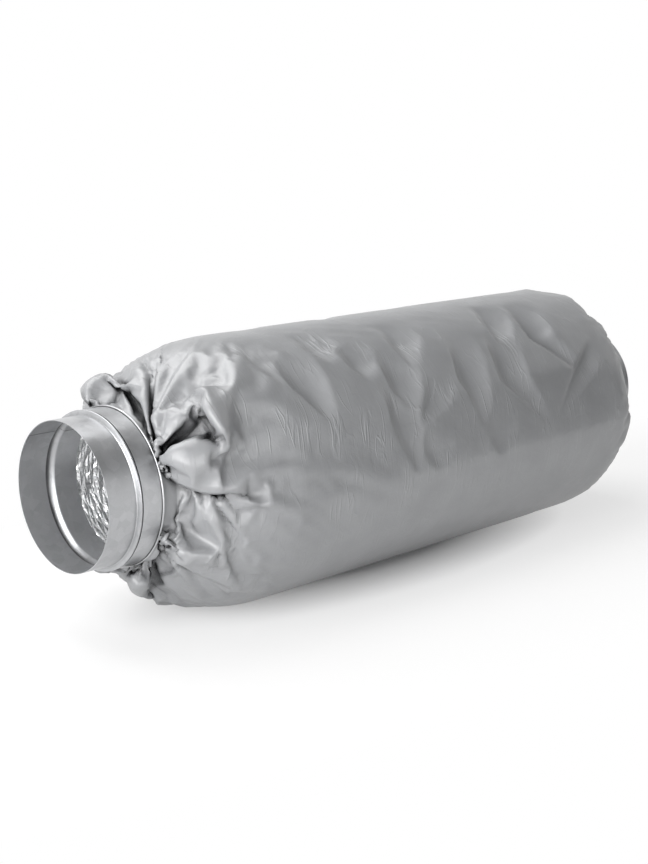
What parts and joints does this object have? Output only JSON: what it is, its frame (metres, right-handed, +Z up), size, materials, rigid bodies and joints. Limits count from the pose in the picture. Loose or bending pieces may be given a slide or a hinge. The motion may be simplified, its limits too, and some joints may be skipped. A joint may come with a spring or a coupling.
{
  "type": "flexible duct sound attenuator",
  "caption": "Flexible duct sound attenuator: ribbed foil hose in a wool blanket and a gathered grey film jacket, with a beaded sheet-metal spigot clamped in each end.",
  "frame": {"origin": "on the surface that it rests on, under the middle of the attenuator", "axes": "+X along the duct axis from the front spigot to the rear spigot, +Z up"},
  "size_m": [0.9, 0.3084, 0.3017],
  "materials": {
    "galvanised_sheet": "galvanised, fine grain",
    "band_steel": "galvanised, smooth",
    "foil_laminate": "bright crinkled foil",
    "spring_wire": "drawn",
    "fleece": "non-woven",
    "acoustic_wool": "fibrous",
    "jacket_film": "semi-gloss film"
  },
  "bodies": {
    "root": {"front_spigot": "galvanised_sheet", "rear_spigot": "galvanised_sheet", "front_clamp_band": "band_steel", "rear_clamp_band": "band_steel", "foil_hose": "foil_laminate", "wire_helix": "spring_wire", "fleece_sleeve": "fleece", "wool_blanket": "acoustic_wool", "jacket": "jacket_film"}
  },
  "joints": []
}
